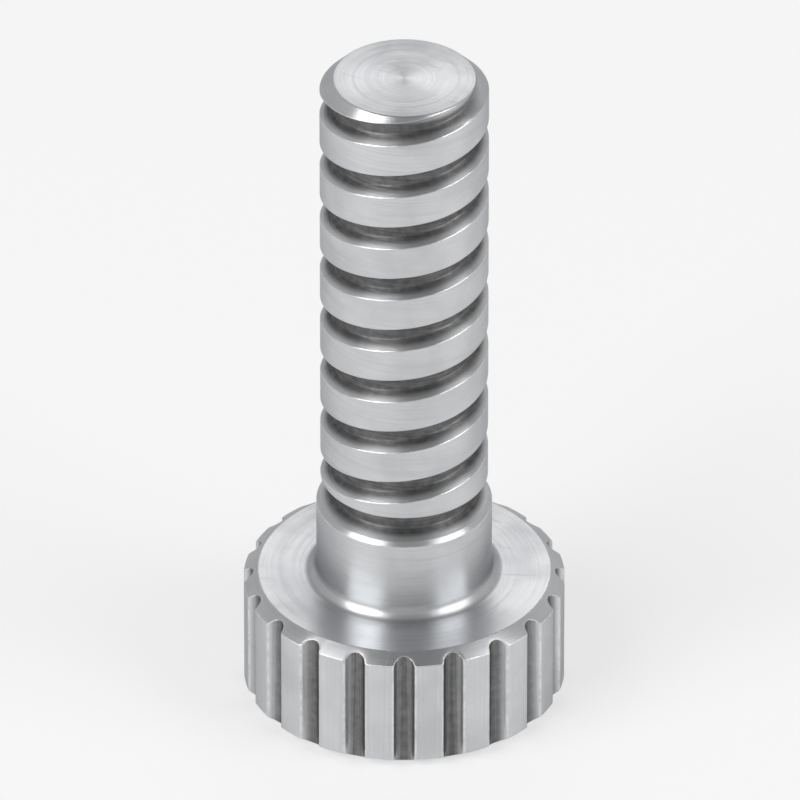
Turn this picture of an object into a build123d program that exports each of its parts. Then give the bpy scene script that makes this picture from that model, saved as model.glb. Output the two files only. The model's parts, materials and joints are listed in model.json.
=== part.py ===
"""A thumb screw turned from one bar of steel: fluted head, plain neck and a coarse right-hand thread.

Millimetres, +Z up. The screw stands on its head: the origin is the centre of the head's end
face, and the axis runs up through the neck and the thread to the flat tip.
"""

from build123d import *

import os
from math import ceil, radians, tan

# Head: a short cylinder with straight flutes for the fingers, bevelled at both rims.
HEAD_DIAMETER = 15.4
HEAD_HEIGHT = 6.3
FLUTE_COUNT = 20
FLUTE_WIDTH = 1.0
FLUTE_DEPTH = 0.45
RIB_EDGE_RADIUS = 0.15
BEVEL_MARGIN = 0.25  # how far the bevels reach in past the floors of the flutes
BEVEL_HEIGHT = 0.45
FRONT_ANGLE = -90.0  # the side that faces -Y, where one flute is centred

# Thread: one right-hand groove, shallow and wide, that starts on the +X side.
THREAD_DIAMETER = 8.0
SHANK_LENGTH = 28.0  # from the head's bearing face to the tip
PITCH = 2.9
GROOVE_WIDTH = 1.25  # at the crest
GROOVE_DEPTH = 0.6
FLANK_ANGLE = 60.0  # between the two flanks of the groove
RELIEF_CLEARANCE = 0.05  # how much the relief ring and the tip's bevel go past the groove

# Neck: the plain shoulder between the head and the thread.
NECK_STEP = 0.2  # how far the neck stands out past the crests of the thread
NECK_LENGTH = 4.25
NECK_ROOT_BEVEL = 0.4  # the 45 degree root where the neck meets the bearing face

# How far a cutter runs past the surface that it cuts.
OVERRUN = 0.5

HEAD_RADIUS = HEAD_DIAMETER / 2
THREAD_RADIUS = THREAD_DIAMETER / 2
NECK_TOP = HEAD_HEIGHT + NECK_LENGTH
TIP_TOP = HEAD_HEIGHT + SHANK_LENGTH
FLANK_SLOPE = tan(radians(FLANK_ANGLE / 2))
RELIEF_WIDTH = GROOVE_WIDTH + 2 * RELIEF_CLEARANCE
RELIEF_DEPTH = GROOVE_DEPTH + RELIEF_CLEARANCE


def turned_blank():
    """The bar after turning: one profile, from the axis out and back, revolved about Z.

    The head is left oversize by the overrun, because the fluting cutter trims its side. A relief
    ring lets the thread's groove run out above the neck, and the tip's bevel is as deep.
    """
    bevel_width = FLUTE_DEPTH + BEVEL_MARGIN
    face_radius = HEAD_RADIUS - bevel_width
    rough_radius = HEAD_RADIUS + OVERRUN
    rough_bevel_height = BEVEL_HEIGHT * (bevel_width + OVERRUN) / bevel_width
    neck_radius = THREAD_RADIUS + NECK_STEP
    relief_radius = THREAD_RADIUS - RELIEF_DEPTH
    relief_flank = RELIEF_DEPTH * FLANK_SLOPE
    relief_top = NECK_TOP + RELIEF_WIDTH
    outline = Polyline(
        (0, 0),
        (face_radius, 0),
        (rough_radius, rough_bevel_height),
        (rough_radius, HEAD_HEIGHT - rough_bevel_height),
        (face_radius, HEAD_HEIGHT),
        (neck_radius + NECK_ROOT_BEVEL, HEAD_HEIGHT),
        (neck_radius, HEAD_HEIGHT + NECK_ROOT_BEVEL),
        (neck_radius, NECK_TOP - NECK_STEP),
        (THREAD_RADIUS, NECK_TOP),
        (relief_radius, NECK_TOP + relief_flank),
        (relief_radius, relief_top - relief_flank),
        (THREAD_RADIUS, relief_top),
        (THREAD_RADIUS, TIP_TOP - RELIEF_DEPTH),
        (relief_radius, TIP_TOP),
        (0, TIP_TOP),
        close=True,
    )
    return revolve(Plane.XZ * make_face(outline), Axis.Z)


def fluting_cutter():
    """What fluting takes off the head: a ring whose bore is the fluted outline, rib edges rounded."""
    flute_radius = ((FLUTE_WIDTH / 2) ** 2 + FLUTE_DEPTH**2) / (2 * FLUTE_DEPTH)
    flute = Pos(HEAD_RADIUS - FLUTE_DEPTH + flute_radius) * Circle(flute_radius)
    disc = Rot(0, 0, FRONT_ANGLE) * Circle(HEAD_RADIUS)
    outline = disc - PolarLocations(0, FLUTE_COUNT, start_angle=FRONT_ANGLE) * flute
    rib_edges = outline.vertices().group_by(lambda vertex: Vector(vertex).length)[-1]
    outline = fillet(rib_edges, RIB_EDGE_RADIUS)
    ring = Circle(HEAD_RADIUS + 2 * OVERRUN) - outline
    return Pos(0, 0, -OVERRUN) * extrude(ring, HEAD_HEIGHT + 2 * OVERRUN)


def thread_cutters():
    """The thread's groove, turn by turn: a blunt V carried along a helix from the relief ring past the tip."""
    floor_radius = THREAD_RADIUS - GROOVE_DEPTH
    floor_half = GROOVE_WIDTH / 2 - GROOVE_DEPTH * FLANK_SLOPE
    outer_radius = THREAD_RADIUS + OVERRUN
    outer_half = GROOVE_WIDTH / 2 + OVERRUN * FLANK_SLOPE
    section = make_face(
        Polyline(
            (floor_radius, -floor_half),
            (outer_radius, -outer_half),
            (outer_radius, outer_half),
            (floor_radius, floor_half),
            close=True,
        )
    )
    turn = sweep(Plane.XZ * section, Helix(PITCH, PITCH, THREAD_RADIUS), is_frenet=True)

    start_height = NECK_TOP + RELIEF_WIDTH / 2
    turns = ceil((TIP_TOP + outer_half - start_height) / PITCH)
    return [Pos(0, 0, start_height + n * PITCH) * turn for n in range(turns)]


def thumb_screw():
    """The finished screw, made in the order of the real one: turned, fluted, then threaded."""
    screw = turned_blank() - fluting_cutter()
    for cutter in thread_cutters():
        screw = screw - cutter
    return screw


os.makedirs("parts", exist_ok=True)
export_step(thumb_screw(), "parts/thumb_screw.step")
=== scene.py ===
"""A plated steel thumb screw standing on its head on a white table, seen from the front and above."""

import json

import bpy
import numpy as np
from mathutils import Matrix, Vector


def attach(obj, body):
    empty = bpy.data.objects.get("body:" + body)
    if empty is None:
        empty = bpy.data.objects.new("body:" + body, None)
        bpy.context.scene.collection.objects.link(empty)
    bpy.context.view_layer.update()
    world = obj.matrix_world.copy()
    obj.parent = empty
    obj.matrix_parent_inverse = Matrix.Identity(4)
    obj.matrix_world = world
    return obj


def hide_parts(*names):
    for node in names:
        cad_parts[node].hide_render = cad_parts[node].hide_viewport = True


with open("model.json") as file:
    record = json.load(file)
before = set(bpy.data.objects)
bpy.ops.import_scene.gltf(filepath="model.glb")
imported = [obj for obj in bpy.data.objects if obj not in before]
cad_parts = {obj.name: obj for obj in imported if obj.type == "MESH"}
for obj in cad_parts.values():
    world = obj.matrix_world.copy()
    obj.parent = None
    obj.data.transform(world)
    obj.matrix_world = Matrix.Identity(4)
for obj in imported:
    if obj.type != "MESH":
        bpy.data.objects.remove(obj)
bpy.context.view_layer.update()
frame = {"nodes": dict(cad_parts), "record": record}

# The screw is one piece of steel, turned from bar, with flutes cut into its head for the fingers and a coarse
# right-hand thread cut into its shank. A thin bright plating covers it: it is worn along the edges, and dull
# and darkened where the thread and the flutes are deep, by a stain that is also painted shade in the hollows.
MM = 0.001  # sizes are in millimetres, and only the finished mesh is in metres
mounts = {mount["name"]: mount for mount in frame["record"]["mounts"]}
screw_node = frame["nodes"]["thumb_screw"]
node_points = np.empty(len(screw_node.data.vertices) * 3)
screw_node.data.vertices.foreach_get("co", node_points)

head_radius = np.hypot(node_points[0::3], node_points[1::3]).max() / MM
head_height = mounts["bearing_face"]["pos_m"][2] / MM
tip_height = mounts["tip"]["pos_m"][2] / MM
neck_radius = mounts["neck"]["dims"]["r_mm"]
neck_end = mounts["neck"]["pos_m"][2] / MM + mounts["neck"]["dims"]["length_mm"] / 2
thread_radius = mounts["thread"]["dims"]["r_mm"]
thread_foot = mounts["thread"]["pos_m"][2] / MM - mounts["thread"]["dims"]["length_mm"] / 2

# Sizes that the record doesn't give.
flute_count = 20
flute_width = 1.0
flute_depth = 0.45
rib_edge_radius = 0.15
rim_bevel_width = 0.7
rim_bevel_height = 0.45
neck_root_bevel = 0.4
pitch = 2.9
groove_width = 1.25  # at the crest
groove_depth = 0.6
flank_slope = np.tan(np.radians(30.0))  # each flank leans by half of the groove's 60 degrees
relief_clearance = 0.05  # how much deeper the relief ring and the tip's bevel are than the groove

# Roundings that turning and plating leave on the edges.
rim_rounding = 0.1
root_rounding = 0.55
shoulder_rounding = 0.1
relief_rounding = 0.14
crest_rounding = 0.07
floor_rounding = 0.14

# How much of the groove's stain, which is also painted shade, goes into the flutes and the root of the neck,
# which are shallower, and how worn a rib's edge is, from the flute to the rim.
flute_stain_and_shade = 0.65
root_stain_and_shade = 0.3
rib_wear = (0.3, 0.7, 1.0, 0.7, 0.3)

# How the skin is divided. The head and the shank have columns of their own, which meet on the bearing face.
arc_rows = 6
flute_columns = 7  # from the middle of a flute to its edge
rim_columns = 3  # from the edge to the middle of a rib
shank_columns = 200
head_columns_end = 0.9  # how far in from the rim's bevel
shank_columns_start = 1.4  # how far in from the rim's bevel
crest_margin = 0.2  # of plain crest between the thread's grid and the next one
map_row = 0.05  # the least room that a row of faces gets on the flat map
map_gap = 0.5  # between two grids on the flat map
corner_share = 0.98  # of the bevel's height, where the marks of the head's side begin
spare_turns = 2  # of the thread at each end, before it is cut to length
same_radius = 1e-6  # the most by which two radii that count as one differ
weld_digits = 5  # decimals that two points share that count as one

face_radius = head_radius - rim_bevel_width
relief_depth = groove_depth + relief_clearance


def unit(vectors):
    """Each vector over its own length."""
    return vectors / np.linalg.norm(vectors, axis=-1, keepdims=True)


def rounded_line(corners, radii, shares):
    """A line through corners, rounded at each inner one, for all columns at once.

    An inner corner becomes an arc that touches both of its sides: the arc's centre lies on the line that
    halves the corner, at the radius over the sine of half the angle, and the arc turns evenly from one side
    to the other. Each side also has rows at the given shares of its length. Returns the points, row by row,
    and each row's bend: up to 1 in the middle of an outer arc, down to -1 in the middle of an inner one.
    """
    inner = corners[1:-1]
    radii = np.array(radii)[:, None, None]
    back = unit(corners[:-2] - inner)
    ahead = unit(corners[2:] - inner)
    half = np.arccos(np.clip((back * ahead).sum(-1, keepdims=True), -1, 1)) / 2
    arrive = inner + back * radii / np.tan(half)
    leave = inner + ahead * radii / np.tan(half)
    centre = inner + unit(back + ahead) * radii / np.sin(half)
    turn = np.pi - 2 * half
    outward = np.sign((back[..., 1] * ahead[..., 0] - back[..., 0] * ahead[..., 1]).mean(axis=-1))

    starts = np.concatenate([corners[:1], leave])
    ends = np.concatenate([arrive, corners[-1:]])
    steps = np.linspace(0, 1, arc_rows)
    t = steps[:, None, None]
    rows, bends = [corners[:1]], [np.zeros(1)]
    for side, cuts in enumerate(shares):
        rows.append(starts[side] + (ends[side] - starts[side]) * np.array(cuts)[:, None, None])
        bends.append(np.zeros(len(cuts)))
        if side < len(inner):
            arriving = np.sin((1 - t) * turn[side]) * (arrive[side] - centre[side])
            leaving = np.sin(t * turn[side]) * (leave[side] - centre[side])
            rows.append(centre[side] + (arriving + leaving) / np.sin(turn[side]))
            bends.append(np.sin(np.pi * steps) * outward[side])
    rows.append(corners[-1:])
    bends.append(np.zeros(1))
    return np.concatenate(rows), np.concatenate(bends)


def travelled(radius, height):
    """The distance along a profile at each of its rows: the steps between the rows, added up."""
    steps = np.hypot(np.diff(radius, axis=0), np.diff(height, axis=0))
    return np.concatenate([0 * radius[:1], np.cumsum(steps, axis=0)])


def fluted_outline():
    """The head's outline, column by column, once round from the middle of a flute.

    A flute is an arc about a point outside its floor, the rim is an arc about the axis, and a small arc that
    touches both rounds the rib's edge between them. Half a flute is worked out from its middle, mirrored at
    the rib and repeated. Returns each column's angle, radius, distance from the middle of its flute, share of
    the flute's depth and wear.
    """
    flute_radius = ((flute_width / 2) ** 2 + flute_depth**2) / (2 * flute_depth)
    flute_centre = head_radius - flute_depth + flute_radius
    edge_reach = head_radius - rib_edge_radius
    touch = flute_radius + rib_edge_radius
    edge_angle = np.arccos((edge_reach**2 + flute_centre**2 - touch**2) / (2 * edge_reach * flute_centre))
    edge_x, edge_y = edge_reach * np.cos(edge_angle), edge_reach * np.sin(edge_angle)
    flute_turn = np.arctan2(edge_y, flute_centre - edge_x)

    floor = np.linspace(0, flute_turn, flute_columns)
    edge = np.linspace(-flute_turn, edge_angle, len(rib_wear))[1:]
    rim = np.linspace(edge_angle, np.pi / flute_count, rim_columns)[1:]
    x = np.concatenate([
        flute_centre - flute_radius * np.cos(floor),
        edge_x + rib_edge_radius * np.cos(edge),
        head_radius * np.cos(rim),
    ])
    y = np.concatenate([
        flute_radius * np.sin(floor),
        edge_y + rib_edge_radius * np.sin(edge),
        head_radius * np.sin(rim),
    ])
    radius = np.hypot(x, y)
    deep = (head_radius - radius) / flute_depth
    worn = np.concatenate([np.zeros(len(floor) - 1), rib_wear, np.zeros(len(rim))])

    def all_round(half):
        """Half a flute's values, mirrored at the rib, repeated, and closed with the first."""
        return np.append(np.tile(np.concatenate([half, half[-2:0:-1]]), flute_count), half[0])

    spacing = 2 * np.pi / flute_count
    half_angle = np.arctan2(y, x)
    both_halves = np.concatenate([half_angle, spacing - half_angle[-2:0:-1]])
    angle = np.append((np.arange(flute_count)[:, None] * spacing + both_halves).ravel(), 2 * np.pi)
    return angle, all_round(radius), all_round(travelled(x, y)), all_round(deep), all_round(worn)


def groove_profile():
    """One pitch of the thread: half a crest, a flank, the floor, the other flank and half a crest.

    Returns each row's height from the groove's middle, radius, distance along the line and wear.
    """
    mouth_half = groove_width / 2
    floor_half = mouth_half - groove_depth * flank_slope
    floor_radius = thread_radius - groove_depth
    line = [
        (thread_radius, -pitch / 2),
        (thread_radius, -mouth_half),
        (floor_radius, -floor_half),
        (floor_radius, floor_half),
        (thread_radius, mouth_half),
        (thread_radius, pitch / 2),
    ]
    rows, bend = rounded_line(
        np.array(line)[:, None, :],
        radii=[crest_rounding, floor_rounding, floor_rounding, crest_rounding],
        shares=[(0.5, 0.9), (0.5,), (0.5,), (0.5,), (0.1, 0.5)],
    )
    radius, height = rows[:, 0, 0], rows[:, 0, 1]
    return height, radius, travelled(radius, height), np.maximum(bend, 0)


groove_height, groove_radius, groove_along, groove_wear = groove_profile()
groove_climb = groove_along[-1] / pitch  # distance along the profile per millimetre of height, on average
groove_lead = groove_along - groove_along[-1] * (groove_height / pitch + 0.5)  # on that even climb
groove_start = thread_foot - groove_width / 2 - relief_clearance


def groove_at(values, height, angle):
    """A value of the groove's profile at a height and an angle: the profile climbs one pitch in a turn."""
    turns = (height - groove_start) / pitch - angle / (2 * np.pi)
    return np.interp(((turns + 0.5) % 1.0 - 0.5) * pitch, groove_height, values)


def grid_faces(first, rows, columns):
    """Four corners for each cell of a grid of points, row by row, in the order that faces outwards."""
    cells = (np.arange(rows - 1)[:, None] * columns + np.arange(columns - 1)).ravel()
    return first + np.stack([cells, cells + 1, cells + columns + 1, cells + columns], axis=1)


def zip_faces(first_a, angles_a, first_b, angles_b):
    """Three corners for each step of two rings with different columns, lower ring first.

    A step's third corner is the point of the other ring that is nearest to the middle of the step.
    """
    middles_a = (angles_a[1:] + angles_a[:-1]) / 2
    middles_b = (angles_b[1:] + angles_b[:-1]) / 2
    step_a = first_a + np.arange(len(middles_a))
    step_b = first_b + np.arange(len(middles_b))
    over_b = first_b + np.searchsorted(middles_b, middles_a, "left")
    over_a = first_a + np.searchsorted(middles_a, middles_b, "right")
    lower = np.stack([step_a, step_a + 1, over_b], axis=1)
    upper = np.stack([over_a, step_b + 1, step_b], axis=1)
    return np.concatenate([lower, upper])


# The next four functions each give a grid of the skin, with a row for each ring: the angles of its columns,
# then every point's radius, height, distance across the tool's marks, stain that paints shade, and wear.
def head_rows():
    """The head, from the middle of its end face round both rims to the bearing face.

    Every column is a line in its own half plane. The rim's bevels are cones, so where a flute cuts in, the
    corner between bevel and side lies at the height where the cone has the flute's radius. The tool's marks
    run round the axis on the faces and the bevels, and along the flutes and ribs on the side.
    """
    angle, outline, along, deep, worn = fluted_outline()
    low = rim_bevel_height * (outline - face_radius) / rim_bevel_width
    line = [
        (0, 0),
        (face_radius, 0),
        (outline, low),
        (outline, head_height - low),
        (face_radius, head_height),
        (face_radius - head_columns_end, head_height),
    ]
    rows, bend = rounded_line(
        np.array([np.stack([radius + 0 * angle, height + 0 * angle], axis=-1) for radius, height in line]),
        radii=[rim_rounding] * 4,
        shares=[(0.04, 0.2, 0.45, 0.7, 0.9, 0.985), (0.5,), (0.02, 0.2, 0.5, 0.8, 0.98), (0.5,), (0.1, 0.5)],
    )
    radius, height = rows[..., 0], rows[..., 1]
    beside = (np.abs(height - head_height / 2) < head_height / 2 - corner_share * low).astype(float)
    rib = outline.argmax()
    marks = np.where(beside > 0, along, travelled(radius[:, rib], height[:, rib])[:, None])
    wear = np.maximum(bend[:, None], worn * beside)
    # The flutes' depth sets their stain, which paints shade into them.
    return angle, radius, height, marks, flute_stain_and_shade * deep * beside, wear


def neck_rows(angle, marks_start):
    """The bearing face, the neck and the relief ring up to the first crest.

    It is a turned line, and from the floor of the relief ring up the thread's groove is cut into it: the
    smaller of the two radii stays.
    """
    relief_radius = thread_radius - relief_depth
    flank = relief_depth * flank_slope
    step = neck_radius - thread_radius
    relief_foot = neck_end + step
    line = [
        (face_radius - shank_columns_start, head_height),
        (neck_radius + neck_root_bevel, head_height),
        (neck_radius, head_height + neck_root_bevel),
        (neck_radius, neck_end),
        (thread_radius, relief_foot),
        (relief_radius, relief_foot + flank),
        (relief_radius, thread_foot - flank),
        (thread_radius, thread_foot),
        (thread_radius, thread_foot + crest_margin),
    ]
    rows, bend = rounded_line(
        np.array(line)[:, None, :],
        radii=[root_rounding] * 2 + [shoulder_rounding] * 2 + [relief_rounding] * 2 + [crest_rounding],
        shares=[(0.3, 0.9), (0.5,), (0.03, 0.2, 0.5, 0.8, 0.97), (0.5,), (0.3, 0.7), (0.5,),
                np.linspace(0.05, 0.95, 10), (0.4, 0.7)],
    )
    turned, height = rows[..., 0], rows[..., 1]
    grooved = groove_at(groove_radius, height, angle)
    radius = np.where(height > relief_foot + flank, np.minimum(turned, grooved), turned)
    marks = marks_start + travelled(turned, height) + 0 * angle
    # The groove's depth sets the stain that paints shade into it, and the neck's inner rounding gets some
    # too.
    stain = np.clip((thread_radius - radius) / groove_depth, 0, 1) * (height > relief_foot - step / 2)
    stain = np.maximum(stain, root_stain_and_shade * np.maximum(-bend[:, None], 0))
    wear = np.maximum(bend[:, None], 0) * (turned <= radius + same_radius)
    return angle, radius, height + 0 * angle, marks, stain, wear


def thread_rows(angle, low, high, marks_start):
    """The thread between two heights: every row follows the groove and climbs one pitch in a turn.

    A row that would pass below or above is held at that height, so that the ends are level rings. The
    distance across the marks is an even climb and the profile's lead on it, so a turn closes without a jump.
    """
    turns = np.arange(-spare_turns, int((high - groove_start) / pitch) + spare_turns)
    height = (groove_start + turns[:, None] * pitch + groove_height[:-1]).reshape(-1, 1)
    height = height + pitch * angle / (2 * np.pi)
    used = np.flatnonzero((height[:, -1] > low) & (height[:, 0] < high))
    height = np.clip(height[used[0] - 1:used[-1] + 2], low, high)
    radius = groove_at(groove_radius, height, angle)
    marks = marks_start + groove_climb * (height - low) + groove_at(groove_lead, height, angle)
    # The groove's depth sets the stain that paints shade into it.
    stain = (thread_radius - radius) / groove_depth
    return angle, radius, height, marks, stain, groove_at(groove_wear, height, angle)


def tip_rows(angle, low, marks_start):
    """The tip: the last crest, the bevel that the groove runs out on, and the end face to its middle."""
    line = [
        (thread_radius, low),
        (thread_radius, tip_height - relief_depth),
        (thread_radius - relief_depth, tip_height),
        (0, tip_height),
    ]
    rows, bend = rounded_line(
        np.array(line)[:, None, :],
        radii=[crest_rounding, shoulder_rounding],
        shares=[(0.4, 0.7), np.linspace(0.04, 0.96, 20), (0.015, 0.1, 0.3, 0.55, 0.8, 0.96)],
    )
    turned, height = rows[..., 0], rows[..., 1]
    radius = np.minimum(turned, groove_at(groove_radius, height, angle))
    marks = marks_start + travelled(turned, height) + 0 * angle
    # Where the groove runs out on the bevel, its depth sets the stain that paints shade into it.
    stain = np.clip((turned - radius) / groove_depth, 0, 1)
    wear = np.where(turned <= radius + same_radius, bend[:, None], groove_at(groove_wear, height, angle))
    return angle, radius, height + 0 * angle, marks, stain, wear


def screw_mesh():
    """The whole skin: head, neck, thread and tip as grids, joined where their rings meet.

    A grid's point has the x and y of its radius at its angle. The flat map has the angle across it and the
    distance along the profile up it, from the middle of the end face to the middle of the tip. The export
    bakes through a map of this name, so that a baked copy keeps the tool's marks in line.
    """
    shank_angle = np.linspace(0, 2 * np.pi, shank_columns + 1)
    thread_low = thread_foot + crest_margin
    thread_high = tip_height - relief_depth - crest_margin
    head = head_rows()
    head_angle, head_marks = head[0], head[3]
    neck = neck_rows(shank_angle, head_marks[-1, 0] + shank_columns_start - head_columns_end)
    thread = thread_rows(shank_angle, thread_low, thread_high, neck[3][-1, 0])
    tip = tip_rows(shank_angle, thread_high, thread[3][-1].mean())

    points, masks, flat, quads = [], [], [], []
    first, reached = 0, 0.0
    for angle, radius, height, *grid_masks in (head, neck, thread, tip):
        rings = np.stack([radius * np.cos(angle), radius * np.sin(angle), height], axis=-1)
        points.append(rings.reshape(-1, 3))
        masks.append([mask.ravel() for mask in grid_masks])
        quads.append(grid_faces(first, *radius.shape))
        steps = np.hypot(np.diff(radius, axis=0), np.diff(height, axis=0)).mean(axis=1)
        climb = reached + np.append(0, np.cumsum(np.maximum(steps, map_row)))
        across = angle / (2 * np.pi) + 0 * radius
        flat.append(np.stack([across, climb[:, None] + 0 * radius], axis=-1).reshape(-1, 2))
        first += radius.size
        reached = climb[-1] + map_gap
    points, quads = np.concatenate(points), np.concatenate(quads)
    masks = [np.concatenate(parts) for parts in zip(*masks)]
    flat = np.concatenate(flat) / (1, climb[-1])
    zipped = zip_faces(head_marks.size - len(head_angle), head_angle, head_marks.size, shank_angle)

    # Points at one place become one point. A cell with one side shrunk to a point becomes a triangle, and one
    # with two goes. The 0.0 turns -0.0 into 0.0, so that the two count as one place.
    _, kept, place = np.unique(
        np.round(points, weld_digits) + 0.0, axis=0, return_index=True, return_inverse=True
    )
    place = place.ravel()
    shrunk = place[quads] == np.roll(place[quads], -1, axis=1)
    whole = quads[shrunk.sum(axis=1) == 0]
    pinched = shrunk.sum(axis=1) == 1
    corners_left = (shrunk[pinched].argmax(axis=1)[:, None] + np.arange(1, 4)) % 4
    threes = np.concatenate([zipped, np.take_along_axis(quads[pinched], corners_left, axis=1)])

    mesh = bpy.data.meshes.new("thumb_screw_skin")
    mesh.from_pydata((points[kept] * MM).tolist(), [], place[whole].tolist() + place[threes].tolist())
    for name, values in zip(("marks", "stain", "wear"), masks):
        layer = mesh.attributes.new(name, "FLOAT", "POINT")
        layer.data.foreach_set("value", values[kept].astype(np.float32))
    corners = np.concatenate([whole.ravel(), threes.ravel()])
    mesh.uv_layers.new(name="OFBake").uv.foreach_set("vector", flat[corners].astype(np.float32).ravel())
    mesh.polygons.foreach_set("use_smooth", np.ones(len(mesh.polygons), bool))
    mesh.validate()
    mesh.update()
    return mesh


class Shade:
    """One output of a node in a material. Sums on it add Math nodes, and node() adds any other node."""

    def __init__(self, tree, socket=None):
        self.tree = tree
        self.socket = socket

    def node(self, kind, settings=None, sockets=None, output=0):
        """Adds a node, sets its settings and its sockets' values or links, and returns one of its outputs."""
        made = self.tree.nodes.new(kind)
        for name, value in (settings or {}).items():
            setattr(made, name, value)
        for key, value in (sockets or {}).items():
            if isinstance(value, Shade):
                self.tree.links.new(value.socket, made.inputs[key])
            else:
                made.inputs[key].default_value = value
        return Shade(self.tree, made.outputs[output] if made.outputs else None)

    def maths(self, operation, first, second):
        """Adds a Math node, whose two inputs are values or links."""
        return self.node("ShaderNodeMath", {"operation": operation}, {0: first, 1: second})

    def most(self, other):
        """The higher of two values."""
        return self.maths("MAXIMUM", self, other)

    def mix(self, low, high):
        """This value blends from one colour to another: inputs 6 and 7 and output 2 of a Mix node."""
        return self.node("ShaderNodeMix", {"data_type": "RGBA"}, {0: self, 6: low, 7: high}, 2)

    def between(self, low, high):
        """0 below low, 1 above high, and a smooth step between."""
        return self.node(
            "ShaderNodeMapRange", {"interpolation_type": "SMOOTHSTEP"},
            {"Value": self, "From Min": low, "From Max": high},
        )

    def __add__(self, other):
        return self.maths("ADD", self, other)

    def __sub__(self, other):
        return self.maths("SUBTRACT", self, other)

    def __rsub__(self, other):
        return self.maths("SUBTRACT", other, self)

    def __mul__(self, other):
        return self.maths("MULTIPLY", self, other)

    __radd__ = __add__
    __rmul__ = __mul__


def plated_steel():
    """Bright plating on turned steel: fine turning rings, cloudy gloss, worn edges and hollows stained with
    painted shade.

    The shader stretches its highlights at a right angle to the rings, as a turned surface does.
    """
    plated = (0.665, 0.675, 0.685, 1)
    clouded = (0.555, 0.565, 0.58, 1)
    bare = (0.78, 0.775, 0.765, 1)
    # Near-black for the hollows: a stain that is also painted shade.
    soiled_and_shaded = (0.07, 0.066, 0.062, 1)
    edge_tint = (0.6, 0.6, 0.61, 1)
    highlight_stretch = 0.75
    quarter_turn = 0.25
    relief_strength = 0.35
    relief_height = 0.00002

    material = bpy.data.materials.new("plated_steel")
    material.use_nodes = True
    tree = material.node_tree
    tree.nodes.clear()
    start = Shade(tree)
    place = start.node("ShaderNodeTexCoord", output="Object")
    marks = start.node("ShaderNodeAttribute", {"attribute_name": "marks"}, output="Fac")
    stain = start.node("ShaderNodeAttribute", {"attribute_name": "stain"}, output="Fac")
    wear = start.node("ShaderNodeAttribute", {"attribute_name": "wear"}, output="Fac")

    def ringed(around, across):
        """Noise drawn out round the axis: its waves per metre there, and per millimetre across the marks."""
        spread = start.node("ShaderNodeVectorMath", {"operation": "SCALE"}, {0: place, "Scale": around})
        lift = start.node("ShaderNodeCombineXYZ", sockets={"Z": marks * across})
        joined = start.node("ShaderNodeVectorMath", {"operation": "ADD"}, {0: spread, 1: lift})
        return start.node(
            "ShaderNodeTexNoise", sockets={"Vector": joined, "Scale": 1.0, "Detail": 3.0, "Roughness": 0.6}
        )

    def cloudy(scale, detail):
        """Noise that is alike in every direction, with so many waves per metre."""
        return start.node("ShaderNodeTexNoise", sockets={"Vector": place, "Scale": scale, "Detail": detail})

    def hairlines(turn):
        """Noise that is turned, then drawn out into thin lines, of which only the highest show."""
        drawn_out = (6000.0, 200.0, 420.0)
        turned = start.node(
            "ShaderNodeVectorRotate", {"rotation_type": "EULER_XYZ"}, {"Vector": place, "Rotation": turn}
        )
        drawn = start.node("ShaderNodeVectorMath", {"operation": "MULTIPLY"}, {0: turned, 1: drawn_out})
        lines = start.node("ShaderNodeTexNoise", sockets={"Vector": drawn, "Scale": 1.0, "Detail": 1.0})
        return lines.between(0.7, 0.76)

    fine_rings = ringed(around=180.0, across=11.0)
    broad_rings = ringed(around=70.0, across=2.6)
    clouds = cloudy(scale=380.0, detail=4.0)
    patches = cloudy(scale=2600.0, detail=3.0)
    grain = cloudy(scale=6500.0, detail=2.0)
    scratches = hairlines((0.3, 0.2, 0.5)).most(hairlines((0.9, 0.4, 1.6))).most(hairlines((0.2, 1.1, 2.5)))
    # Painted shade in the hollows, laid as a stain: the deeper the hollow, the nearer its colour is to
    # near-black.
    stained_and_shaded = stain.between(0.08, 0.7) * (0.8 + 0.2 * (0.5 * patches + 0.5 * fine_rings).between(0.3, 0.7))
    worn = wear.between(0.2, 0.9) * patches.between(0.35, 0.6)

    color = plated
    for share, tint in (
        (0.75 * clouds.between(0.35, 0.7), clouded),
        (0.7 * fine_rings.between(0.45, 0.75), clouded),
        (0.6 * broad_rings.between(0.5, 0.8), clouded),
        (0.14 * scratches, clouded),
        (0.8 * worn, bare),
        (0.9 * stained_and_shaded, soiled_and_shaded),
    ):
        color = share.mix(color, tint)

    roughness = 0.12 + 0.16 * clouds + 0.14 * fine_rings + 0.08 * broad_rings + 0.04 * grain
    roughness = roughness + 0.14 * stained_and_shaded + 0.05 * scratches - 0.05 * worn

    relief = fine_rings + 0.8 * broad_rings + 0.2 * grain - 0.2 * worn - 0.2 * scratches
    bump = start.node(
        "ShaderNodeBump", sockets={"Strength": relief_strength, "Distance": relief_height, "Height": relief}
    )

    steel = start.node("ShaderNodeBsdfPrincipled", sockets={
        "Base Color": color, "Metallic": 1.0, "Roughness": roughness, "Normal": bump,
        "Specular Tint": edge_tint, "Anisotropic": highlight_stretch, "Anisotropic Rotation": quarter_turn,
    })
    start.node("ShaderNodeOutputMaterial", sockets={"Surface": steel})
    return material


screw = bpy.data.objects.new("thumb_screw_plated", screw_mesh())
bpy.context.scene.collection.objects.link(screw)
screw.data.materials.append(plated_steel())
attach(screw, "root")
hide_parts("thumb_screw")

# The table is one flat matt white sheet that runs out of sight on every side. The screw only stands on it. It
# takes the screw's shadow, and it is what the plating mirrors from below.
table_reach = 1.6
table_drop = 0.00002  # keeps the sheet clear of the head's end face
table_mesh = bpy.data.meshes.new("table_sheet")
table_mesh.from_pydata(
    [(x * table_reach, y * table_reach, -table_drop) for x, y in ((-1, -1), (1, -1), (1, 1), (-1, 1))],
    [], [(0, 1, 2, 3)],
)
table = bpy.data.objects.new("table", table_mesh)
bpy.context.scene.collection.objects.link(table)


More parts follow.
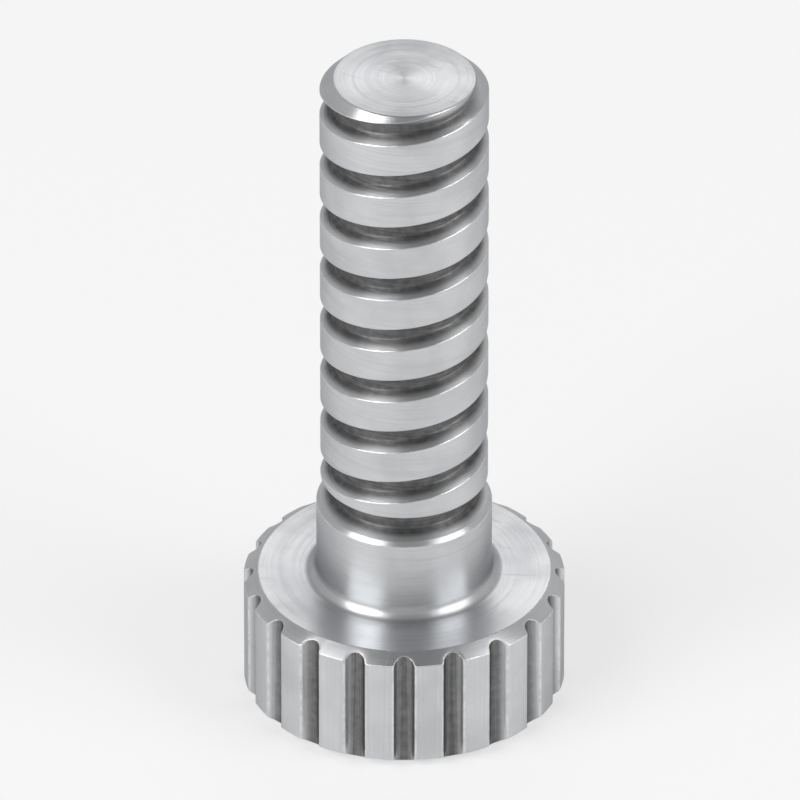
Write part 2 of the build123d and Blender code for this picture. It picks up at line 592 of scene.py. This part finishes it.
def white_sheet():
    """Matt white, lifted part of the way to plain white where it is seen or mirrored. Its shadows stay."""
    sheet_white = (0.85, 0.85, 0.85, 1)
    full_white = (1.0, 1.0, 1.0, 1)
    lift_seen = 0.5
    lift_mirrored = 0.3

    material = bpy.data.materials.new("white_sheet")
    material.use_nodes = True
    tree = material.node_tree
    tree.nodes.clear()
    start = Shade(tree)
    seen = start.node("ShaderNodeLightPath", output="Is Camera Ray")
    mirrored = start.node("ShaderNodeLightPath", output="Is Glossy Ray").most(
        start.node("ShaderNodeLightPath", output="Is Transmission Ray")
    )
    color = seen.most(mirrored).mix(sheet_white, full_white)
    sheet = start.node("ShaderNodeBsdfDiffuse", sockets={"Color": color})
    white = start.node("ShaderNodeEmission", sockets={"Strength": 1.0})
    lift = lift_seen * seen + lift_mirrored * mirrored
    lifted = start.node("ShaderNodeMixShader", sockets={0: lift, 1: sheet, 2: white})
    start.node("ShaderNodeOutputMaterial", sockets={"Surface": lifted})
    return material


table.data.materials.append(white_sheet())

# The light is three soft boxes, turned to the middle of the screw: a large one from the upper left, a weaker
# one from the right and one behind, which the flat faces mirror. The room around them is a plain grey, with a
# darker ceiling.
screw_middle = Vector((0.0, 0.0, tip_height / 2 * MM))
wall_grey = (0.56, 0.56, 0.565, 1)
ceiling_grey = (0.2, 0.2, 0.202, 1)
ceiling_starts, ceiling_full = 0.62, 0.9  # the upward part of a direction, which is 1 straight up


def soft_box(name, place, width, height, power):
    """A rectangular lamp at a place in metres, with its power in watts, turned to the middle of the screw."""
    lamp = bpy.data.lights.new(name, "AREA")
    lamp.shape = "RECTANGLE"
    lamp.size = width
    lamp.size_y = height
    lamp.energy = power
    box = bpy.data.objects.new(name, lamp)
    box.location = Vector(place)
    box.rotation_euler = (screw_middle - box.location).to_track_quat("-Z", "Y").to_euler()
    bpy.context.scene.collection.objects.link(box)


soft_box("left_box", place=(-0.42, -0.30, 0.42), width=0.45, height=0.45, power=2.0)
soft_box("right_box", place=(0.46, -0.20, 0.38), width=0.38, height=0.38, power=1.2)
soft_box("back_box", place=(0.06, 0.46, 0.33), width=0.36, height=0.22, power=0.22)

world = bpy.data.worlds.new("room")
world.use_nodes = True
world.node_tree.nodes.clear()
room = Shade(world.node_tree)
direction = room.node("ShaderNodeTexCoord", output="Generated")
upward = room.node("ShaderNodeSeparateXYZ", sockets={"Vector": direction}, output="Z")
grey = upward.between(ceiling_starts, ceiling_full).mix(wall_grey, ceiling_grey)
glow = room.node("ShaderNodeBackground", sockets={"Color": grey})
room.node("ShaderNodeOutputWorld", sockets={"Surface": glow})
bpy.context.scene.world = world
bpy.context.scene.view_settings.view_transform = "Standard"

# The camera looks along +Y and down, at the elevation that the ellipse of the tip gives. It stands far away
# and has a long lens, because the drawing shows no perspective.
camera_elevation = np.radians(34.0)
camera_distance = 0.952
camera_aim = Vector((-0.0002, 0.0, 0.016))
camera_data = bpy.data.cameras.new("camera")
camera_data.sensor_width = 36.0
camera_data.lens = 900.0
camera_data.clip_start = 0.01
camera_data.clip_end = 10.0
camera = bpy.data.objects.new("camera", camera_data)
towards_camera = Vector((0.0, -np.cos(camera_elevation), np.sin(camera_elevation)))
camera.location = camera_aim + towards_camera * camera_distance
camera.rotation_euler = (-towards_camera).to_track_quat("-Z", "Y").to_euler()
bpy.context.scene.collection.objects.link(camera)
bpy.context.scene.camera = camera
